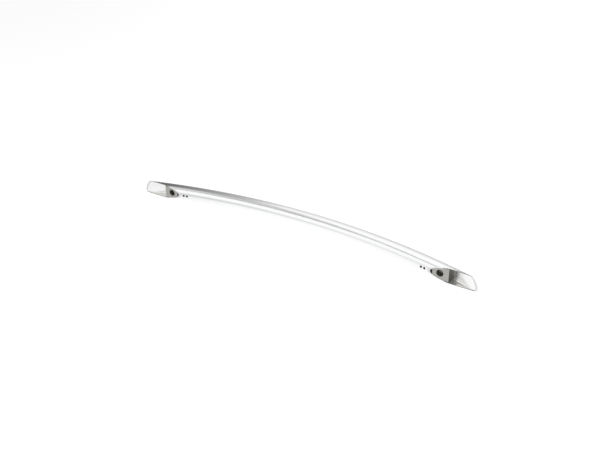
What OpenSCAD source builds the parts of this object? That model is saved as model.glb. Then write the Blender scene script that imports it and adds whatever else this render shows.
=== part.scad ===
// Bowed door handle of a refrigerator, seen from its door side in the photograph.
// A hollow tube of D section, flat in front and round at the back, is bent to a long
// shallow bow and cut off flat at both ends, where it meets the door. A die-cast
// mounting block sits in each end of the tube and takes the door's shoulder stud.
//
// X runs along the handle, the door face is the plane Y = 0 and the bow stands out
// towards +Y. Z is across the handle. The handle lies on the flat side of its tube.

/* [Bow] */
// Length over the two tips, in the door face and at mid width
handle_length = 808; // [640:4:900]
// Height of the front face above the door, at mid length
bow_height = 61.5; // [54:0.5:76]

/* [Tube section] */
// Width over the two flat sides
tube_width = 32.4; // [28:0.2:38]
// Depth from the front face to the crown of the round back
tube_depth = 26.2; // [24:0.2:30]
// Depth from the front face to the shoulders, where the flat sides end
side_depth = 15.2; // [13:0.2:17]
// Wall thickness of the tube
tube_wall = 1; // [0.8:0.1:1.6]
// How far the front face leans at each side, out below and in above
front_lean = 2; // [0:0.1:3]
// Radius of the low crown across the front face
front_radius = 100; // [70:5:300]
// Outer radius of the two front corners
corner_radius = 4; // [2.6:0.1:5]
// Outer radius that blends each flat side into the round back
shoulder_radius = 5; // [3:0.5:8]

/* [Mounting blocks] */
// Gap between a block and the inside of the tube
block_fit = 0.2; // [0.1:0.05:0.4]
// Depth of a block's face below the cut rim of the tube
face_recess = 0.8; // [0.4:0.1:2]
// Length of a block's face, from the inner end of the cut to its end wall
face_length = 43; // [38:0.5:50]
// Depth of the end wall's square part, above its sloping foot
foot_depth = 7; // [5:0.5:8]
// How far the foot slopes out past the face
foot_length = 4.5; // [3.5:0.5:6]
// Height of the foot's toe above the inside of the tube's front
toe_height = 1.6; // [1.2:0.1:2.2]
// Distance from the inner end of the cut to the blunt nose of a block's face
nose_from_cut = 9; // [7.5:0.5:12]
// Depth of the notch in front of that nose
nose_depth = 6; // [4:0.5:8]
// How far a block reaches into the closed tube, past the inner end of the cut
tongue_length = 29; // [26:0.5:45]
// Width of the core pocket in a block's hidden end
pocket_width = 17; // [8:0.5:20]
// Height of the core pocket
pocket_height = 10; // [6:0.5:12]
// Depth of the core pocket
pocket_depth = 24; // [10:0.5:26]
// Radius of the core pocket's corners
pocket_radius = 2; // [1:0.5:3]

/* [Stud sockets] */
// Diameter of the socket for the door's shoulder stud
stud_bore = 14; // [9:0.1:14.5]
// Depth of the socket from the block's face
stud_bore_depth = 12; // [10:0.5:14]
// Width of the chamfer at the socket's mouth
stud_chamfer = 0.5; // [0.3:0.1:1]
// Distance from the inner end of the cut to the socket's axis
stud_from_cut = 24.5; // [21:0.5:28]

/* [Stud set screws] */
// Thread diameter of the set screw that grips the stud
stud_screw_d = 5; // [4:0.5:6]
// Length of that set screw
stud_screw_length = 7; // [5:0.5:7.5]
// Height of its axis above the socket's blind end
stud_screw_height = 3; // [2.8:0.1:4]
// How far its tip stands back from the socket's wall
stud_screw_back = 0.4; // [0.1:0.1:1]
// Diameter of the access hole for it in the tube's lower side
access_hole_d = 5.6; // [5.2:0.1:6.5]

/* [Retaining screws] */
// Thread diameter of the screws that hold a block in the tube
retainer_d = 5; // [3:0.5:5]
// Length of a retaining screw
retainer_length = 7; // [5:0.5:8]
// Distance from the inner end of the cut to the nearer retaining screw
retainer_from_cut = 8.5; // [7:0.5:12]
// Distance between the two retaining screws of a block
retainer_pitch = 8; // [7:0.5:9]
// How far the screws lie below the tube's back
retainer_recess = 0.3; // [0:0.1:0.6]

/* [Screw fits] */
// Gap all round a screw in its thread
thread_fit = 0.05; // [0.02:0.01:0.1]
// Gap all round a retaining screw in the tube's wall
wall_hole_fit = 0.15; // [0.1:0.05:0.3]

/* [Hidden] */
$fn = 96;

// Radius of the front face along the bow, from its chord and its height
bow_radius = (pow(handle_length / 2, 2) + pow(bow_height, 2)) / (2 * bow_height);
// Distance of the bow's axis behind the door face
axis_back = bow_radius - bow_height;
half_width = tube_width / 2;

// Circle of the round back: it passes through the crown and both shoulders
back_rise = tube_depth - side_depth;
back_radius = (pow(half_width, 2) + pow(back_rise, 2)) / (2 * back_rise);
back_centre = -tube_depth + back_radius;

// Centres of the shoulder and the front corner circles
shoulder_z = half_width - shoulder_radius;
shoulder_n = back_centre - sqrt(pow(back_radius - shoulder_radius, 2) - pow(shoulder_z, 2));
shoulder_turn = asin((back_centre - shoulder_n) / (back_radius - shoulder_radius));
lean_angle = atan2(front_lean, half_width);
corner_z = half_width - corner_radius;
crown_n = -front_radius * cos(lean_angle);
crown_z = -front_radius * sin(lean_angle);

// Straight steps that make up a corner, a shoulder and the front crown. The shoulder stops half a step
// short of the back, so that its last edge crosses the back's circle.
corner_steps = 9;
crown_steps = 8;
shoulder_steps = 4;
shoulder_end = 90 + shoulder_turn * shoulder_steps / (shoulder_steps + 0.5);

// Inner end of the cut, where the crown of the back meets the door face
cut_x = sqrt(pow(bow_radius - tube_depth, 2) - pow(axis_back, 2));
cut_angle = atan2(cut_x, axis_back);
// The bent tube runs past the door face before it is cut off
end_angle = acos((axis_back - 3) / (bow_radius + front_lean + 1)) + 0.4;

// End wall of a block's face, and the toe of its foot on the inside of the tube's front
end_x = cut_x + face_length;
toe_x = end_x + foot_length;
toe_y = sqrt(pow(bow_radius - tube_wall - block_fit, 2) - pow(toe_x, 2)) - axis_back;
// A block's two square ends, as angles about the bow's axis
block_toe_end = atan2(toe_x, axis_back + toe_y);
block_tongue_end = atan2(cut_x - tongue_length, axis_back);

stud_x = cut_x + stud_from_cut;
stud_screw_y = face_recess + stud_bore_depth - stud_screw_height;
stud_screw_tip = stud_bore / 2 + stud_screw_back;

// Radius over the corners of a hexagon, from its width over flats
function hex_r(flats) = flats / 2 / cos(30);

// Centre of a front corner's circle, which touches the front crown and a flat side from
// inside: side is 1 above, -1 below
function corner_centre(side) =
    let (across = side * corner_z - crown_z)
        [crown_n + sqrt(pow(front_radius - corner_radius, 2) - pow(across, 2)), side * corner_z];

// Angle on the front crown where that corner begins
function crown_angle(side) =
    let (c = corner_centre(side))
        atan2(c[1] - crown_z, c[0] - crown_n);

// Points along an arc of the section
function arc_points(centre, r, from, to, steps) = [
    for (i = [0:steps])
        let (a = from + (to - from) * i / steps)
            [centre[0] + r * cos(a), centre[1] + r * sin(a)]
];

// Front, flat sides and shoulders down to where the round back takes over.
// Past the shoulder each edge runs on outside the back's circle, which then trims it.
function front_outline(inset) =
    let (
        rc = corner_radius - inset,
        rs = shoulder_radius - inset,
        tail = tube_depth + 2 + shoulder_n,
        up = arc_points([shoulder_n, shoulder_z], rs, 90, shoulder_end, shoulder_steps),
        down = arc_points([shoulder_n, -shoulder_z], rs, -shoulder_end, -90, shoulder_steps),
        last = up[shoulder_steps],
        back_z = last[1] - (tail + last[0] - shoulder_n) * tan(shoulder_end - 90)
    )
    concat(
        arc_points([crown_n, crown_z], front_radius - inset, crown_angle(-1), crown_angle(1), crown_steps),
        arc_points(corner_centre(1), rc, crown_angle(1), 90, corner_steps),
        up,
        [[-tube_depth - 2, back_z], [-tube_depth - 2, -back_z]],
        down,
        arc_points(corner_centre(-1), rc, -90, crown_angle(-1), corner_steps)
    );

// Outline of the section, or of the space inside it at a given inset.
// Its X is the distance from the front face's arc and its Y is across the width.
module section_2d(inset) {
    difference() {
        polygon(front_outline(inset));
        difference() {
            translate([shoulder_n - tube_depth, -tube_width])
                square([tube_depth, 2 * tube_width]);
            translate([back_centre, 0])
                circle(back_radius - inset);
        }
    }
}

// Bent bar with the section's outline, between two angles measured from the bow's middle
module bent_bar(inset, from_angle, to_angle) {
    translate([0, -axis_back, 0])
        rotate([0, 0, 90 - to_angle])
            rotate_extrude(angle = to_angle - from_angle, $fn = 720)
                translate([bow_radius, 0])
                    section_2d(inset);
}

// Puts what is drawn on the Z axis at an angle along the bow, pointing back into the tube
// from the crown of the round back
module on_back(angle) {
    translate([0, -axis_back, 0])
        rotate([0, 0, -angle])
            translate([0, bow_radius - tube_depth, 0])
                rotate([-90, 0, 0])
                    children();
}

// Angle of one of a block's retaining screws
function retainer_angle(i) =
    cut_angle - (retainer_from_cut + i * retainer_pitch) / (bow_radius - tube_depth) * 180 / PI;

// Everything on the door's side of a plane parallel to the door face
module door_side(y) {
    translate([-handle_length, y - 80, -tube_width])
        cube([2 * handle_length, 80, 2 * tube_width]);
}

// Bores for a block's two retaining screws
module retainer_bores(d, bore_length) {
    for (i = [0, 1])
        on_back(retainer_angle(i))
            translate([0, 0, -2])
                cylinder(d = d, h = bore_length + 2);
}

module tube_end_holes() {
    retainer_bores(retainer_d + 2 * wall_hole_fit, tube_wall + 1);
    translate([stud_x, stud_screw_y, -half_width - 1])
        cylinder(d = access_hole_d, h = tube_wall + 2);
}

module handle_tube() {
    color("#e4e6e8")
        difference() {
            bent_bar(0, -end_angle, end_angle);
            bent_bar(tube_wall, -end_angle - 1, end_angle + 1);
            door_side(0);
            tube_end_holes();
            mirror([1, 0, 0])
                tube_end_holes();
        }
}

// Round-cornered pocket, cored from the block's hidden end
module core_pocket() {
    pocket_n = bow_radius - tube_depth / 2 + 2;
    straight_w = pocket_width - 2 * pocket_radius;
    straight_h = pocket_height - 2 * pocket_radius;
    translate([0, -axis_back, 0])
        rotate([0, 0, -block_tongue_end])
            translate([-1, pocket_n, 0])
                rotate([90, 0, 90])
                    linear_extrude(pocket_depth + 1)
                        union() {
                            square([straight_h, pocket_width], center = true);
                            square([pocket_height, straight_w], center = true);
                            for (a = [-1, 1], b = [-1, 1])
                                translate([a * straight_h / 2, b * straight_w / 2])
                                    circle(pocket_radius);
                        }
}

// Notch that takes the feather edge off the face, next to the inner end of the cut
module blunt_nose() {
    translate([cut_x - 1, face_recess - 5, -half_width])
        cube([nose_from_cut + 1, nose_depth + 5, tube_width]);
}

// What is left out above the sloping foot of the end wall. It leans with the front face.
module above_foot() {
    rotate([lean_angle, 0, 0])
        linear_extrude(2 * tube_width, center = true)
            polygon([
                [end_x, -tube_depth],
                [end_x, face_recess + foot_depth],
                [toe_x, toe_y - toe_height],
                [toe_x + tube_depth, toe_y - toe_height],
                [toe_x + tube_depth, -tube_depth]
            ]);
}

module stud_socket() {
    mouth = stud_bore / 2 + stud_chamfer;
    translate([stud_x, face_recess, 0])
        rotate([-90, 0, 0]) {
            cylinder(d = stud_bore, h = stud_bore_depth);
            cylinder(r1 = mouth, r2 = stud_bore / 2, h = stud_chamfer);
        }
}

module block() {
    difference() {
        bent_bar(tube_wall + block_fit, block_tongue_end, block_toe_end);
        door_side(face_recess);
        blunt_nose();
        above_foot();
        stud_socket();
        translate([stud_x, stud_screw_y, -half_width])
            cylinder(d = stud_screw_d + 2 * thread_fit, h = half_width);
        retainer_bores(retainer_d + 2 * thread_fit, retainer_recess + retainer_length + 1);
        core_pocket();
    }
}

// Set screw with a hexagon socket in its top and a cup at its tip, from Z = 0 upwards
module set_screw(d, screw_length) {
    key_r = hex_r(d / 2);
    edge = d * 0.1;
    difference() {
        union() {
            cylinder(d1 = d - 2 * edge, d2 = d, h = edge);
            translate([0, 0, edge])
                cylinder(d = d, h = screw_length - 2 * edge);
            translate([0, 0, screw_length - edge])
                cylinder(d1 = d, d2 = d - 2 * edge, h = edge);
        }
        translate([0, 0, -1])
            cylinder(r = key_r, h = d * 0.6 + 1, $fn = 6);
        translate([0, 0, screw_length - edge])
            cylinder(d1 = 0, d2 = d * 0.5, h = edge + 0.01);
    }
}

module stud_screw() {
    translate([stud_x, stud_screw_y, -stud_screw_tip - stud_screw_length])
        set_screw(stud_screw_d, stud_screw_length);
}

module retainers() {
    for (i = [0, 1])
        on_back(retainer_angle(i))
            translate([0, 0, retainer_recess])
                set_screw(retainer_d, retainer_length);
}

module block_right() {
    color("#8f8e88")
        block();
}

module block_left() {
    color("#8f8e88")
        mirror([1, 0, 0])
            block();
}

module stud_screw_right() {
    color("#2b2b2d")
        stud_screw();
}

module stud_screw_left() {
    color("#2b2b2d")
        mirror([1, 0, 0])
            stud_screw();
}

module retainers_right() {
    color("#2b2b2d")
        retainers();
}

module retainers_left() {
    color("#2b2b2d")
        mirror([1, 0, 0])
            retainers();
}

handle_tube();
block_left();
block_right();
stud_screw_left();
stud_screw_right();
retainers_left();
retainers_right();
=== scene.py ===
import math

import bpy
from mathutils import Matrix, Vector


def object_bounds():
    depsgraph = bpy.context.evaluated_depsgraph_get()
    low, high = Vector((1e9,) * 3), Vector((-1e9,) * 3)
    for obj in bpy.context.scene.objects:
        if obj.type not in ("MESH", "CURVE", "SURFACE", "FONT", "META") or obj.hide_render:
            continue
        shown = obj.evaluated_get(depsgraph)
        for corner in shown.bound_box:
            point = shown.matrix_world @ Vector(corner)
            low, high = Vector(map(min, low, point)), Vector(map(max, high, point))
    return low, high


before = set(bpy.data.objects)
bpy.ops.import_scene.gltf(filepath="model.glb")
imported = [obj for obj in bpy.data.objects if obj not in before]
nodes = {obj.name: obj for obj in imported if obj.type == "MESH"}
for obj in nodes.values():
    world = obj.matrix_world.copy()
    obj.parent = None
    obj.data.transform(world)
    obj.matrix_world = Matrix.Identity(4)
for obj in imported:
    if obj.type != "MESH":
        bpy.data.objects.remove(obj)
cad_low, cad_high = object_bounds()
scene = bpy.context.scene

# Camera ---------------------------------------------------------------------
LENS_PX = 805.9
CAMERA_AT = Vector((0.7889, -1.2492, 0.8250))
YAW, PITCH, ROLL = (math.radians(a) for a in (-31.763, 28.854, 0.125))
IMAGE_WIDTH_PX, SENSOR_WIDTH_MM = 600, 36

forward = Vector((math.sin(YAW) * math.cos(PITCH), math.cos(YAW) * math.cos(PITCH), -math.sin(PITCH)))
level = Vector((math.cos(YAW), -math.sin(YAW), 0))
down = forward.cross(level)
right = math.cos(ROLL) * level + math.sin(ROLL) * down
down = forward.cross(right)
camera = bpy.data.objects.new("camera", bpy.data.cameras.new("camera"))
camera.matrix_world = Matrix((
    (right.x, -down.x, -forward.x, CAMERA_AT.x),
    (right.y, -down.y, -forward.y, CAMERA_AT.y),
    (right.z, -down.z, -forward.z, CAMERA_AT.z),
    (0, 0, 0, 1),
))
camera.data.sensor_width = SENSOR_WIDTH_MM
camera.data.lens = LENS_PX / IMAGE_WIDTH_PX * SENSOR_WIDTH_MM
camera.data.clip_start = 0.01
scene.collection.objects.link(camera)
scene.camera = camera


# Node helpers ---------------------------------------------------------------
class Tree:
    """A short way to write shader and geometry nodes."""

    def __init__(self, tree):
        self.tree = tree

    def add(self, kind, values=None, **props):
        node = self.tree.nodes.new(kind)
        for key, value in props.items():
            setattr(node, key, value)
        for key, value in (values or {}).items():
            if isinstance(value, bpy.types.NodeSocket):
                self.tree.links.new(value, node.inputs[key])
            else:
                node.inputs[key].default_value = value
        return node

    def link(self, value, socket):
        self.tree.links.new(value, socket)

    def math(self, operation, *values):
        return self.add("ShaderNodeMath", dict(enumerate(values)), operation=operation).outputs[0]

    def plus(self, a, b):
        return self.math("ADD", a, b)

    def times(self, a, b):
        return self.math("MULTIPLY", a, b)

    def larger(self, a, b):
        return self.math("MAXIMUM", a, b)

    def vector(self, x, y, z):
        return self.add("ShaderNodeCombineXYZ", {0: x, 1: y, 2: z}).outputs[0]

    def parts(self, vector):
        return self.add("ShaderNodeSeparateXYZ", {0: vector}).outputs

    def place(self):
        return self.add("ShaderNodeTexCoord").outputs["Object"]

    def facing(self):
        return self.parts(self.add("ShaderNodeNewGeometry").outputs["True Normal"])

    def noise(self, vector, scale, detail=4.0, roughness=0.5):
        values = {"Vector": vector, "Scale": scale, "Detail": detail, "Roughness": roughness}
        return self.add("ShaderNodeTexNoise", values).outputs["Fac"]

    def ramp(self, value, low, high, from_min=0.0, from_max=1.0):
        values = {"Value": value, "From Min": from_min, "From Max": from_max, "To Min": low, "To Max": high}
        return self.add("ShaderNodeMapRange", values).outputs[0]

    def window(self, value, rise_from, rise_to, fall_from, fall_to):
        """1 between rise_to and fall_from, and 0 outside of the other two."""
        return self.times(self.ramp(value, 0, 1, rise_from, rise_to), self.ramp(value, 1, 0, fall_from, fall_to))

    def mix(self, factor, a, b):
        return self.add("ShaderNodeMix", {0: factor, 6: a, 7: b}, data_type="RGBA").outputs[2]

    def grey(self, value):
        return self.add("ShaderNodeCombineColor", {0: value, 1: value, 2: value}).outputs[0]

    def glow(self, strength, colour=(1, 1, 1, 1)):
        return self.add("ShaderNodeEmission", {"Color": colour, "Strength": strength}).outputs[0]

    def bump(self, height, strength, distance, normal=None):
        values = {"Height": height, "Strength": strength, "Distance": distance}
        if normal is not None:
            values["Normal"] = normal
        return self.add("ShaderNodeBump", values).outputs[0]


def empty_material(name):
    """A material with nothing but its output, and its tree."""
    material = bpy.data.materials.new(name)
    material.use_nodes = True
    material.node_tree.nodes.clear()
    t = Tree(material.node_tree)
    return material, t, t.add("ShaderNodeOutputMaterial").inputs[0]


def new_material(name):
    material, t, surface = empty_material(name)
    shader = t.add("ShaderNodeBsdfPrincipled")
    t.link(shader.outputs[0], surface)
    return material, t, shader


# Materials: each pair is the darker and the paler colour of a finish, except the painted light on the tube's
# inside front, and the painted shade on the tube's inner sides and side rims and on the zinc's faces away from the
# door -----------
SATIN = (0.87, 0.873, 0.878, 1), (0.94, 0.942, 0.945, 1)
# Inside the tube: the front's pair is painted light, and the upper and lower sides' pair is painted shade
INNER_FRONT_PAINTED_LIGHT = (0.95, 0.947, 0.955, 1), (0.98, 0.977, 0.985, 1)
INNER_SIDES_PAINTED_SHADE = (0.72, 0.715, 0.69, 1), (0.80, 0.795, 0.77, 1)
# The thin sides' rims: a painted dark line of shade
SIDE_RIMS_PAINTED_SHADE = (0.18, 0.18, 0.17, 1), (0.26, 0.26, 0.25, 1)
SAWN_FRONT = (0.76, 0.76, 0.76, 1)
ZINC_DOOR_FACE = (0.38, 0.37, 0.35, 1), (0.55, 0.535, 0.507, 1)
# The zinc's darker pair is painted shade on the faces away from the door
ZINC_PAINTED_SHADE = (0.12, 0.12, 0.102, 1), (0.22, 0.22, 0.19, 1)
BLACK_OXIDE = (0.018, 0.018, 0.02, 1), (0.05, 0.05, 0.055, 1)

# The bow's arc through the tips and the front's crown, in metres
HALF_CHORD, BOW = 0.404, 0.0615
BOW_RADIUS = (HALF_CHORD ** 2 + BOW ** 2) / (2 * BOW)
# From the front to the middle of the section, where outside and inside are told apart
MID_DEPTH = 0.012
# Half the width inside the two thin sides, how far the face left by the saw reaches from the door, and how far the
# painted shade along the thin sides' rims reaches from the door
SIDE_WALL, SAWN_FACE, RIM_SHADE_REACH = 0.0142, 0.0004, 0.0006


def metal_tube():
    """Satin outside and as drawn inside, with painted light on the inside front, painted shade on the inside's
    upper and lower sides, and a painted dark line of shade along the rims where the thin sides are cut off.
    """
    material, t, shader = new_material("satin_steel")
    place = t.place()
    x, from_door, width = t.parts(place)
    face_x, face_y, face_z = t.facing()

    # Coordinates that follow the bow: along its arc and out from its axis
    y = t.plus(from_door, BOW_RADIUS - BOW)
    radius = t.math("SQRT", t.plus(t.times(x, x), t.times(y, y)))
    arc = t.times(t.math("ARCTAN2", x, y), BOW_RADIUS)

    # A face is inside where it looks towards the middle of the section
    outward = t.math("DIVIDE", t.plus(t.times(face_x, x), t.times(face_y, y)), radius)
    depth = t.plus(radius, MID_DEPTH - BOW_RADIUS)
    inside = t.math("LESS_THAN", t.plus(t.times(outward, depth), t.times(face_z, width)), 0)
    side_wall = t.math("GREATER_THAN", t.math("ABSOLUTE", width), SIDE_WALL)
    # The inside's upper and lower sides, which get painted shade
    inner_side = t.times(inside, t.math("GREATER_THAN", t.math("ABSOLUTE", face_z), 0.5))
    sawn_face = t.times(t.math("LESS_THAN", from_door, SAWN_FACE), t.math("LESS_THAN", face_y, -0.9))
    # Along the thin sides' rims, outer and inner faces alike get a painted dark line of shade
    sawn_face_and_rim_shade = t.larger(sawn_face, t.times(side_wall, t.math("LESS_THAN", from_door, RIM_SHADE_REACH)))

    def drawn_out(along, across):
        return t.vector(t.times(arc, along), t.times(radius, across), t.times(width, across))

    streak = t.noise(drawn_out(9, 2600), 1.0, 3.0, 0.6)
    band = t.noise(drawn_out(3, 260), 1.0, 2.0)
    cloud = t.noise(place, 9.0, 4.0)
    tone = t.plus(t.times(streak, 0.5), t.times(band, 0.5))

    # Painted light on the inside front and painted shade on the inside's upper and lower sides
    inner = t.mix(inner_side, t.mix(tone, *INNER_FRONT_PAINTED_LIGHT), t.mix(tone, *INNER_SIDES_PAINTED_SHADE))
    wall = t.mix(inside, t.mix(tone, *SATIN), inner)
    # The face left by the saw at the front keeps its own grey, and the thin sides' rims get painted shade
    rim = t.mix(side_wall, SAWN_FRONT, t.mix(tone, *SIDE_RIMS_PAINTED_SHADE))
    t.link(t.mix(sawn_face_and_rim_shade, wall, rim), shader.inputs["Base Color"])
    satin_rough = t.plus(t.ramp(streak, 0.10, 0.17, 0.3, 0.7), t.ramp(cloud, 0.0, 0.04, 0.35, 0.65))
    duller = t.plus(t.times(inside, 0.05), t.times(sawn_face_and_rim_shade, 0.2))
    t.link(t.plus(satin_rough, duller), shader.inputs["Roughness"])
    t.link(t.ramp(inside, 1.0, 0.8), shader.inputs["Metallic"])
    t.link(t.bump(streak, 0.05, 0.0002), shader.inputs["Normal"])
    return material


def cast_zinc():
    """Pale on the face towards the door, and darker elsewhere as painted shade."""
    material, t, shader = new_material("cast_zinc")
    place = t.place()
    grain = t.noise(place, 1400.0, 4.0, 0.6)
    patch = t.noise(place, 90.0, 4.0, 0.55)
    tone = t.plus(t.times(grain, 0.35), t.times(patch, 0.65))
    to_door = t.math("LESS_THAN", t.facing()[1], -0.9)
    # The faces away from the door get the darker colour as painted shade
    t.link(t.mix(to_door, t.mix(tone, *ZINC_PAINTED_SHADE), t.mix(tone, *ZINC_DOOR_FACE)), shader.inputs["Base Color"])
    t.link(t.ramp(patch, 0.42, 0.6, 0.3, 0.7), shader.inputs["Roughness"])
    t.link(t.bump(grain, 0.25, 0.0003, t.bump(patch, 0.2, 0.001)), shader.inputs["Normal"])
    shader.inputs["Metallic"].default_value = 0.7
    return material


def black_screw():
    material, t, shader = new_material("black_oxide")
    grain = t.noise(t.place(), 2200.0, 3.0)
    t.link(t.mix(grain, *BLACK_OXIDE), shader.inputs["Base Color"])
    t.link(t.ramp(grain, 0.3, 0.5, 0.3, 0.7), shader.inputs["Roughness"])
    t.link(t.bump(grain, 0.15, 0.0002), shader.inputs["Normal"])
    shader.inputs["Metallic"].default_value = 0.6
    return material


# Smooth shading and fine edge rounding on the CAD's own meshes ------------------
SMOOTH_BELOW, ROUND_ABOVE = math.radians(17), math.radians(35)
WELD = 0.000002


def smooth_group():
    group = bpy.data.node_groups.new("smooth_by_angle", "GeometryNodeTree")
    group.interface.new_socket("Geometry", in_out="INPUT", socket_type="NodeSocketGeometry")
    group.interface.new_socket("Geometry", in_out="OUTPUT", socket_type="NodeSocketGeometry")
    t = Tree(group)
    start, end = t.add("NodeGroupInput"), t.add("NodeGroupOutput")
    merged = t.add("GeometryNodeMergeByDistance", {"Geometry": start.outputs[0], "Distance": WELD})
    angle = t.add("GeometryNodeInputMeshEdgeAngle").outputs[0]
    soft = t.add("FunctionNodeCompare", {0: angle, 1: SMOOTH_BELOW}, data_type="FLOAT", operation="LESS_THAN")
    faces = t.add("GeometryNodeSetShadeSmooth", {"Geometry": merged.outputs[0], "Shade Smooth": True},
                  domain="FACE")
    edges = t.add("GeometryNodeSetShadeSmooth", {"Geometry": faces.outputs[0], "Shade Smooth": soft.outputs[0]},
                  domain="EDGE")
    t.link(edges.outputs[0], end.inputs[0])
    return group


# Finish and edge rounding in metres, by the first word of a node's name
steel, zinc, screw = metal_tube(), cast_zinc(), black_screw()
FINISH = {"handle": (steel, 0.00022), "block": (zinc, 0.00035), "stud": (screw, 0.00012),
          "retainers": (screw, 0.00012)}
smooth = smooth_group()
for name, piece in nodes.items():
    material, rounding = FINISH[name.split("_")[0]]
    piece.data.materials.clear()
    piece.data.materials.append(material)
    piece.modifiers.new("smooth", "NODES").node_group = smooth
    bevel = piece.modifiers.new("edge", "BEVEL")
    bevel.width = rounding
    bevel.segments = 2
    bevel.limit_method = "ANGLE"
    bevel.angle_limit = ROUND_ABOVE
    bevel.harden_normals = False
    piece.modifiers.new("smooth_after", "NODES").node_group = smooth


# Stage ----------------------------------------------------------------------
WHITE = 1.12  # the tent's light
FLOOR_REACH = 6
OPENING_HEIGHT = 1.2


def sheet(name, corners, z):
    """A flat face of the stage."""
    mesh = bpy.data.meshes.new(name)
    mesh.from_pydata([(x, y, z) for x, y in corners], [], [tuple(range(len(corners)))])
    thing = bpy.data.objects.new(name, mesh)
    scene.collection.objects.link(thing)
    return thing


def floor():
    """White to the camera, with the shadow kept. Metal mirrors it grey in front and dark behind."""
    material, t, surface = empty_material("floor_white")
    x, y, _ = t.parts(t.place())
    in_front = t.ramp(y, t.ramp(x, 0.60, 0.80, -0.35, 0.1), 1, -0.12, 0.03)
    mirrored = t.glow(t.times(t.times(in_front, t.ramp(y, 1, 0.08, 0.10, 0.26)), WHITE))
    plain = t.add("ShaderNodeBsdfDiffuse", {"Color": (0.8, 0.8, 0.8, 1)}).outputs[0]
    shaded = t.add("ShaderNodeBsdfDiffuse", {"Color": (0.22, 0.22, 0.22, 1)}).outputs[0]
    shown = t.add("ShaderNodeAddShader", {0: shaded, 1: t.glow(0.88)}).outputs[0]
    path = t.add("ShaderNodeLightPath").outputs
    seen = t.larger(path["Is Camera Ray"], path["Is Transmission Ray"])
    diffuse_or_shown = t.add("ShaderNodeMixShader", {0: seen, 1: plain, 2: shown}).outputs[0]
    t.link(t.add("ShaderNodeMixShader", {0: path["Is Glossy Ray"], 1: diffuse_or_shown, 2: mirrored}).outputs[0],
           surface)
    far = FLOOR_REACH
    sheet("floor", [(-far, -far), (far, -far), (far, far), (-far, far)], cad_low.z).data.materials.append(material)


def studio():
    """A white tent: dark low down behind the set and on its right, and hazy at the horizon in front."""
    world = bpy.data.worlds.new("studio")
    scene.world = world
    world.use_nodes = True
    world.node_tree.nodes.clear()
    t = Tree(world.node_tree)
    x, y, z = t.parts(t.add("ShaderNodeTexCoord").outputs["Generated"])
    # In degrees: azimuth from +Y towards +X, and rise above the horizon
    azimuth = t.times(t.math("ARCTAN2", x, y), 180 / math.pi)
    rise = t.times(t.math("ARCSINE", z), 180 / math.pi)

    low_down = t.ramp(rise, 0.72, 0, 19, 24)
    edge_above = t.times(t.ramp(rise, 1, 0, 28, 32), t.ramp(azimuth, 0.28, 0.52, -26, -17))
    behind = t.times(t.window(azimuth, -72, -60, 40, 55), t.larger(low_down, edge_above))
    on_right = t.times(t.window(azimuth, 50, 62, 128, 142), t.ramp(rise, 0.6, 0, 38, 60))
    haze = t.larger(t.window(rise, -25, -4, 0, 24), t.times(t.window(rise, -25, -4, 26, 75), 0.28))
    horizon = t.times(haze, t.ramp(y, 0.40, 0.14, -0.975, -0.88))
    dark = t.larger(t.larger(behind, on_right), horizon)

    tent = t.mix(dark, (WHITE, WHITE, WHITE, 1), (0, 0, 0, 1))
    shown = t.mix(t.add("ShaderNodeLightPath").outputs["Is Camera Ray"], tent, (1, 1, 1, 1))
    back = t.add("ShaderNodeBackground", {"Color": shown, "Strength": 1.0})
    t.link(back.outputs[0], t.add("ShaderNodeOutputWorld").inputs[0])


def opening():
    """The tent's open part over the left end, which the handle's back mirrors as a dark band."""
    material, t, surface = empty_material("opening_grey")
    x, y, _ = t.parts(t.place())
    # How far to the right of the line where the grey turns to white, which bends left with y
    bend = t.plus(t.times(y, 0.15), t.times(t.times(y, y), 0.13))
    from_line = t.math("DIVIDE", t.plus(t.plus(x, bend), 0.70), t.plus(t.times(y, 0.18), 0.22))
    wide_part = t.plus(t.ramp(from_line, 0.34, 0.55, -0.5, 0.0), t.ramp(from_line, -0.24, 0, -1.2, -0.5))
    narrow_part = t.ramp(y, 0.15, 0.62, -0.78, -0.40)
    shade = t.mix(t.ramp(y, 0, 1, -0.25, 0.0), t.grey(narrow_part), t.grey(wide_part))
    t.link(t.glow(1.0, shade), surface)
    hung = sheet("opening", [
        (-0.66, -0.90), (-0.62, -0.60), (-0.58, -0.35), (-0.60, -0.15), (-0.66, 0.0), (-0.74, 0.3),
        (-0.88, 0.77), (-1.18, 1.5), (-1.36, 1.9), (-1.8, 3.0), (-4.5, 3.0), (-4.5, -0.1),
        (-1.1, -0.2), (-0.86, -0.36), (-0.78, -0.6), (-0.80, -0.92),
    ], OPENING_HEIGHT)
    hung.data.materials.append(material)
    hung.visible_camera = False


floor()
studio()
opening()

scene.view_settings.view_transform = "Standard"
